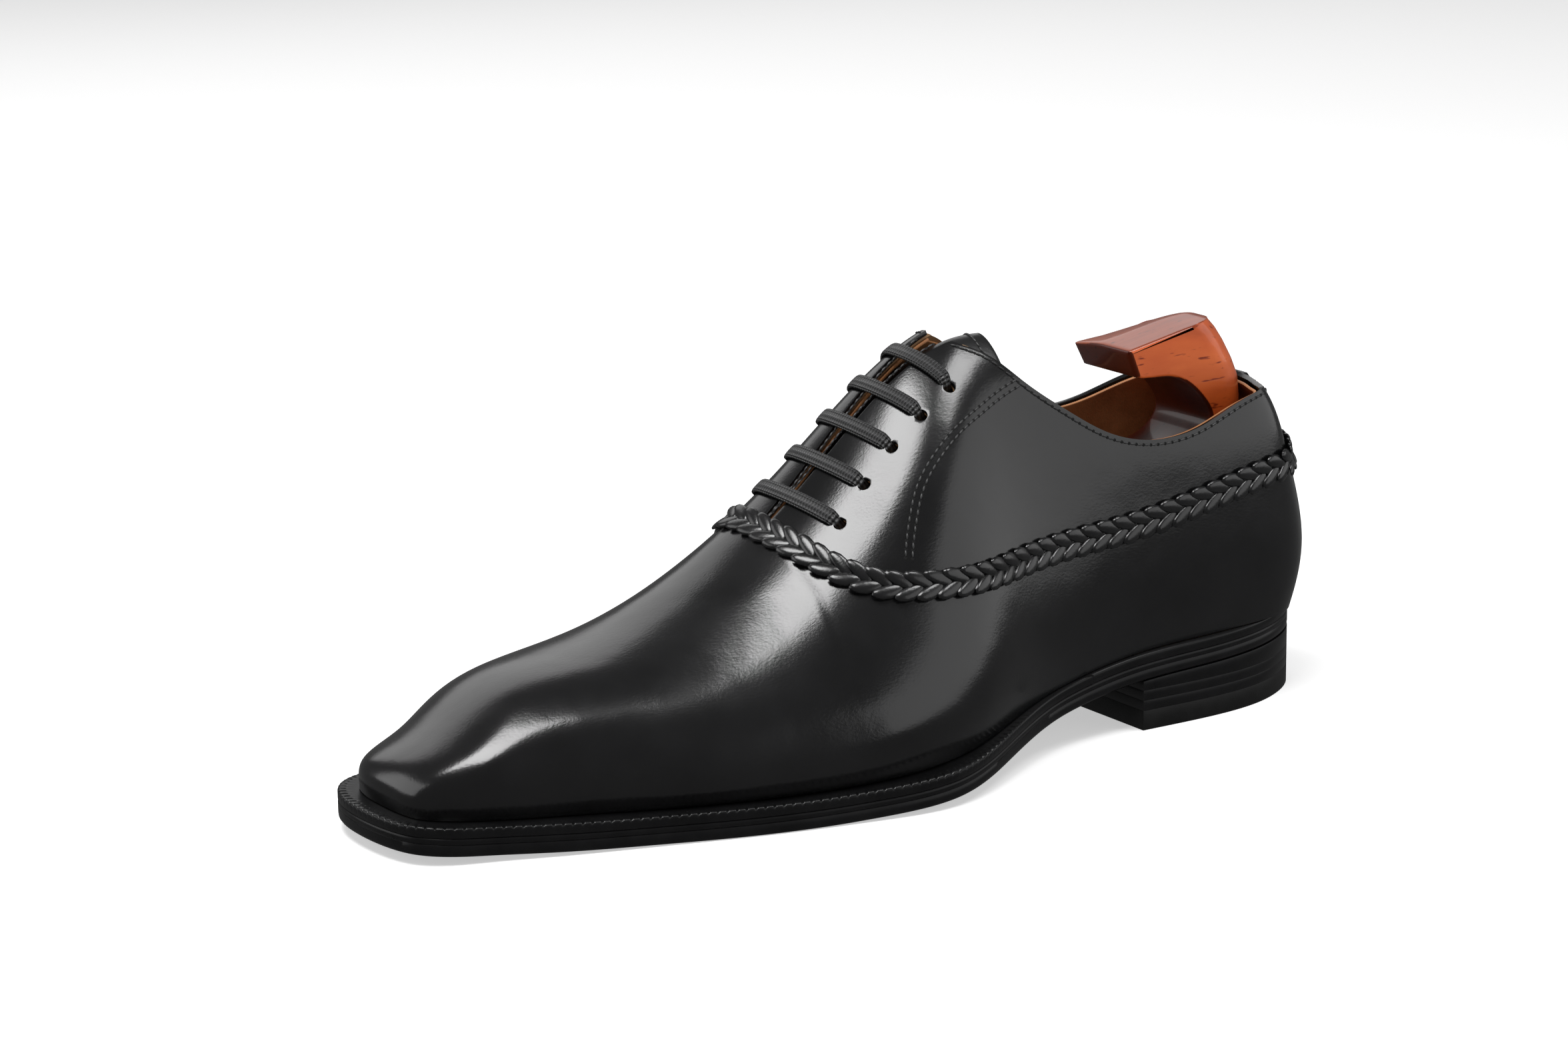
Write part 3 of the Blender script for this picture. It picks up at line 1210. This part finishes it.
# %% Lace finish
lace_finish = Finish("waxed_lace_braid", IOR=1.5)
lace_uv = lace_finish.node("ShaderNodeTexCoord", output="UV")
split = lace_finish.node("ShaderNodeSeparateXYZ", {}, {"Vector": lace_uv})
round_it = Wire(lace_finish, split.socket.node.outputs["X"])
along_it = Wire(lace_finish, split.socket.node.outputs["Y"])
STRANDS, TWISTS = 5.0, 20.0
round_angle, along_angle = round_it * (STRANDS * 2 * math.pi), along_it * (TWISTS * 2 * math.pi)
one_way = round_it.math("SINE", round_angle + along_angle)
other_way = round_it.math("SINE", round_angle - along_angle)
diamonds = one_way * other_way * 0.5 + 0.5
lace_colour = lace_finish.ramp(diamonds, [(0.2, (0.002, 0.002, 0.002)),
                                          (0.8, (0.035, 0.035, 0.036))])
lace_black = lace_finish.to(Base_Color=lace_colour, Roughness=0.50 - diamonds * 0.16,
                            Normal=lace_finish.bump(diamonds, 0.0006))

# %% [markdown]
# ## Varnished beech and brass
# The wood is stained red brown under clear varnish. Grain is noise stretched along the length
# of the block, with short dark flecks, and the varnish is the shader's coat.

# %% Wood and brass
wood = Finish("beech_red_varnish", IOR=1.4, Coat_Roughness=0.08)
grain = wood.noise(wood.stretched((1.0, 0.10, 0.35)), 420.0, 4.0, 0.6)
bands = wood.noise(wood.stretched((1.0, 0.14, 0.6)), 90.0, 3.0, 0.55)
pores = wood.noise(wood.stretched((1.0, 0.16, 1.0)), 900.0, 2.0, 0.4)
shade = grain * 0.35 + bands * 0.65
side_colour = wood.ramp(shade, [(0.3, (0.30, 0.045, 0.008)), (0.5, (0.50, 0.085, 0.014)),
                                (0.72, (0.62, 0.13, 0.024))])
pore_mask = wood.ramp(pores, [(0.66, (1.0, 1.0, 1.0)), (0.74, (0.35, 0.2, 0.2))])
stain = wood.node("ShaderNodeAttribute", {"attribute_name": "stain"}, output="Fac")
flecked = wood.node("ShaderNodeMix", {"data_type": "RGBA", "blend_type": "MULTIPLY"},
                    {0: 1.0, 6: side_colour, 7: pore_mask}, output=2)
wood_colour = wood.node("ShaderNodeMix", {"data_type": "RGBA", "blend_type": "MULTIPLY"},
                        {0: stain, 6: flecked, 7: (0.12, 0.075, 0.09, 1)}, output=2)
varnished_beech = wood.to(Base_Color=wood_colour, Roughness=0.38, Coat_Weight=0.45 - grain * 0.1,
                          Normal=wood.bump(grain, 0.00003))

brass = Finish("brushed_brass", Metallic=1.0)
brushed = brass.noise(brass.stretched((1.0, 0.05, 1.0)), 900.0, 3.0, 0.5)
polished_brass = brass.to(Base_Color=brass.ramp(brushed, [(0.3, (0.55, 0.36, 0.13)),
                                                          (0.7, (0.72, 0.50, 0.22))]),
                          Roughness=0.24 + brushed * 0.12)
steel = Finish("drawn_steel", Metallic=1.0)
steel_lines = steel.noise(steel.stretched((1.0, 0.05, 1.0)), 900.0, 3.0, 0.5)
drawn_steel = steel.to(Base_Color=steel.ramp(steel_lines, [(0.3, (0.42, 0.42, 0.43)),
                                                           (0.7, (0.6, 0.6, 0.62))]),
                       Roughness=0.25 + steel_lines * 0.15)

# %% [markdown]
# ## Dressing the pieces
# Each new piece gets its finish and its body, and names the CAD nodes that it stands for. CAD
# nodes whose shape is already right, such as the tree's tube and rod, keep their shape and only
# get a better finish.

# %% Finishes and bodies
wear(vamp, black_calf, "root", ["vamp"])
wear(quarters[LATERAL], black_calf, "root", ["quarter_lateral"])
wear(quarters[MEDIAL], black_calf, "root", ["quarter_medial"])
wear(vamp_lining, tan_lining, "root", ["vamp_lining"])
wear(quarter_linings[LATERAL], tan_lining, "root", ["quarter_lining_lateral"])
wear(quarter_linings[MEDIAL], tan_lining, "root", ["quarter_lining_medial"])
wear(plait, plait_calf, "root", ["braid_trim"])
wear(plait_core, plait_calf)
wear(tongue, tongue_calf, "tongue", ["tongue"])
wear(tongue_lining, tan_lining, "tongue", ["tongue_lining"])
wear(lace, lace_black, "root", ["lace"])
for piece in (seam_thread, edge_thread):
    wear(piece, thread)
for piece in (seam_holes, edge_holes):
    wear(piece, needle_hole)
wear(tongue_thread, thread, "tongue")
wear(tongue_holes, needle_hole, "tongue")
wear(outsole, sole_black, "root", ["outsole"])
wear(welt, sole_black, "root", ["welt"])
wear(rand, sole_black, "root", ["heel_rand"])
wear(top_piece, rubber, "root", ["top_piece"])
for number, lift in enumerate(lifts, start=1):
    wear(lift, sole_black, "root", ["heel_lift_" + str(number)])
wear(block, varnished_beech, "tree_heel", ["tree_heel_block"])

NODE_FINISH = {
    "sock_liner": tan_lining, "insole": insole_tan, "insole_rib": canvas_cream,
    "cork_filler": cork_brown, "seat_filler": cork_brown, "shank": drawn_steel,
    "heel_nails": polished_brass, "toe_puff": insole_tan, "heel_counter": insole_tan,
    "facing_stay_lateral": insole_tan, "facing_stay_medial": insole_tan, "heel_tab": black_calf,
    "tree_guide_dowels": varnished_beech, "tree_toe_medial": varnished_beech,
    "tree_toe_lateral": varnished_beech, "tree_tube": polished_brass,
    "tree_tube_plug": polished_brass, "tree_tube_collar": polished_brass,
    "tree_rod": polished_brass, "tree_ferrule": polished_brass, "tree_spring": drawn_steel}
for name, finish in NODE_FINISH.items():
    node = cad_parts[name]
    if not node.material_slots:
        node.data.materials.append(finish)
    for material_slot in node.material_slots:
        material_slot.material = finish
print("CAD nodes with a finish:", len(NODE_FINISH))

# %% [markdown]
# ## Stage
# A pale floor, a dim room and five soft boxes. Polished black leather shows almost nothing but
# reflections: the room leaves the flank near black, the side wall gives the quarters their even
# dark grey, and the boxes over the toe and the facings give the highlights. A mirror image of
# the bright floor would grey the whole flank, so the floor is hidden from glossy rays.

# %% Floor, lights and room
deselect()
bpy.ops.mesh.primitive_plane_add(size=8, location=(0, 0, 0))
floor = named(bpy.context.object, "studio_floor")
FLOOR_GLOW, ROOM_LIGHT = 0.5, 0.13
floor_finish = Finish("studio_floor_pale", Roughness=0.7, Emission_Color=(1, 1, 1, 1),
                      Emission_Strength=FLOOR_GLOW)
floor.data.materials.append(floor_finish.to(Base_Color=(0.62, 0.62, 0.62, 1)))
floor.visible_glossy = False

world = bpy.data.worlds.new("studio_room")
bpy.context.scene.world = world
world.use_nodes = True
world.node_tree.nodes["Background"].inputs["Color"].default_value = (1, 1, 1, 1)
world.node_tree.nodes["Background"].inputs["Strength"].default_value = ROOM_LIGHT
bpy.context.scene.view_settings.view_transform = "Standard"

TARGET = Vector((0.0, -0.11, 0.06))


def soft_box(name, direction, distance, width, height, radiance):
    """An area light that faces the shoe from a direction, its brightness given as radiance."""
    outwards = Vector(direction).normalized()
    deselect()
    bpy.ops.object.light_add(type="AREA", location=TARGET + distance * outwards)
    light = named(bpy.context.object, name)
    light.data.shape, light.data.size, light.data.size_y = "RECTANGLE", width, height
    light.data.energy = radiance * math.pi * width * height
    light.rotation_euler = outwards.to_track_quat("Z", "Y").to_euler()
    return light


soft_box("toe_side_box", (0.09, -0.33, 0.94), 1.5, 1.05, 0.62, 12)
soft_box("facing_box", (0.30, 0.36, 0.88), 1.5, 0.5, 0.55, 9)
soft_box("side_wall", (0.62, 0.72, 0.31), 2.0, 3.2, 1.3, 1.0)
soft_box("toe_wall", (-0.47, -0.81, 0.34), 2.0, 1.9, 1.3, 1.6)
soft_box("far_wall", (-0.81, 0.24, 0.50), 1.8, 1.6, 0.9, 1.2)

# %% [markdown]
# ## Camera
# The camera looks at the lateral side from the front, a little above the shoe, with the lens
# of a short telephoto, and it is turned a fraction of a degree about its own axis.

# %% Camera
AZIMUTH, ELEVATION, ROLL = (math.radians(v) for v in (56.97, 14.15, -0.69))
back = Vector((math.sin(AZIMUTH) * math.cos(ELEVATION), -math.cos(AZIMUTH) * math.cos(ELEVATION),
               math.sin(ELEVATION)))
right = Vector((math.cos(AZIMUTH), math.sin(AZIMUTH), 0))
upright = back.cross(right)
camera_x = math.cos(ROLL) * right + math.sin(ROLL) * upright
camera_y = -math.sin(ROLL) * right + math.cos(ROLL) * upright
deselect()
EYE = Vector((963.1, -762.9, 361.5))
bpy.ops.object.camera_add(location=EYE * MM)
camera = named(bpy.context.object, "studio_camera")
turn = np.array([camera_x, camera_y, back]).T
camera.rotation_euler = Matrix(turn.tolist()).to_euler()
camera.data.lens, camera.data.sensor_width, camera.data.sensor_fit = 95.55, 36, "HORIZONTAL"
camera.data.clip_start = 0.05
bpy.context.scene.camera = camera
